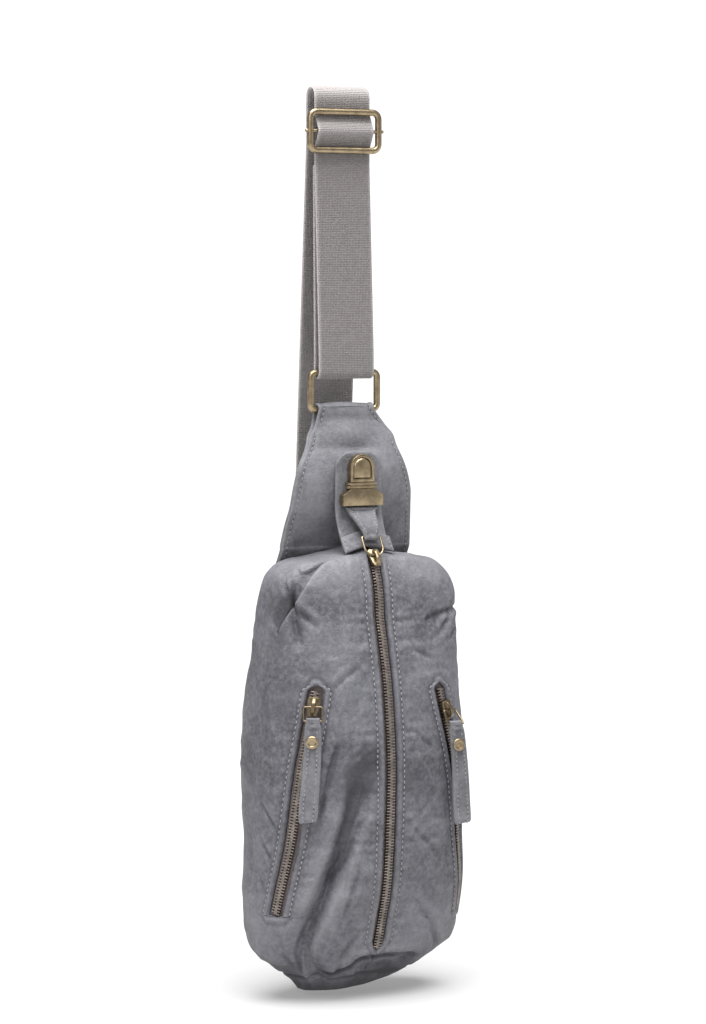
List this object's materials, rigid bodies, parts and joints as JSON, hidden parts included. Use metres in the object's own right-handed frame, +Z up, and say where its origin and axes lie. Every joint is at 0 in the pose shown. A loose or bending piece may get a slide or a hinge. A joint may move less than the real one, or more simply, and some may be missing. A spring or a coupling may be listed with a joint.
{
  "type": "sling bag",
  "caption": "Soft leather sling bag with a centre zip, slanted side pocket zips, a tuck lock on a flared yoke and a webbing strap on a buckle.",
  "frame": {"origin": "inner side of the strap's upper fold, where a hook carries the hanging bag", "axes": "+Z up, front faces -Y, +X to the right seen from the front"},
  "size_m": [0.151, 0.112, 0.5988],
  "materials": {
    "body_leather": "washed, matte",
    "trim_leather": "washed, matte",
    "webbing": "basket weave cotton",
    "zip_tape": "woven tape",
    "zip_chain": "dark antique",
    "antique_brass": "antique, rubbed"
  },
  "bodies": {
    "bag": {"front_left_panel": "body_leather", "front_right_panel": "body_leather", "back_panel": "body_leather", "base_panel": "body_leather", "yoke": "trim_leather", "lock_patch": "trim_leather", "end_tab": "trim_leather", "lock_tab": "trim_leather", "left_pull": "trim_leather", "right_pull": "trim_leather", "strap": "webbing", "main_tape": "zip_tape", "left_tape": "zip_tape", "right_tape": "zip_tape", "main_chain": "zip_chain", "left_chain": "zip_chain", "right_chain": "zip_chain", "main_slider": "antique_brass", "left_slider": "antique_brass", "right_slider": "antique_brass", "left_bail": "antique_brass", "right_bail": "antique_brass", "left_rivet": "antique_brass", "right_rivet": "antique_brass", "yoke_ring": "antique_brass", "buckle_frame": "antique_brass", "buckle_pin": "antique_brass", "lock_frame": "antique_brass", "lock_plate": "antique_brass", "lock_ring": "antique_brass"},
    "button": {"lock_button": "antique_brass"}
  },
  "joints": [
    {"name": "lock_button_press", "type": "slide", "parent": "bag", "child": "button", "axis": [0, 1, 0], "range_m": [0, 0.0015], "stiffness_N_per_m": 300, "springref_m": -0.001}
  ]
}
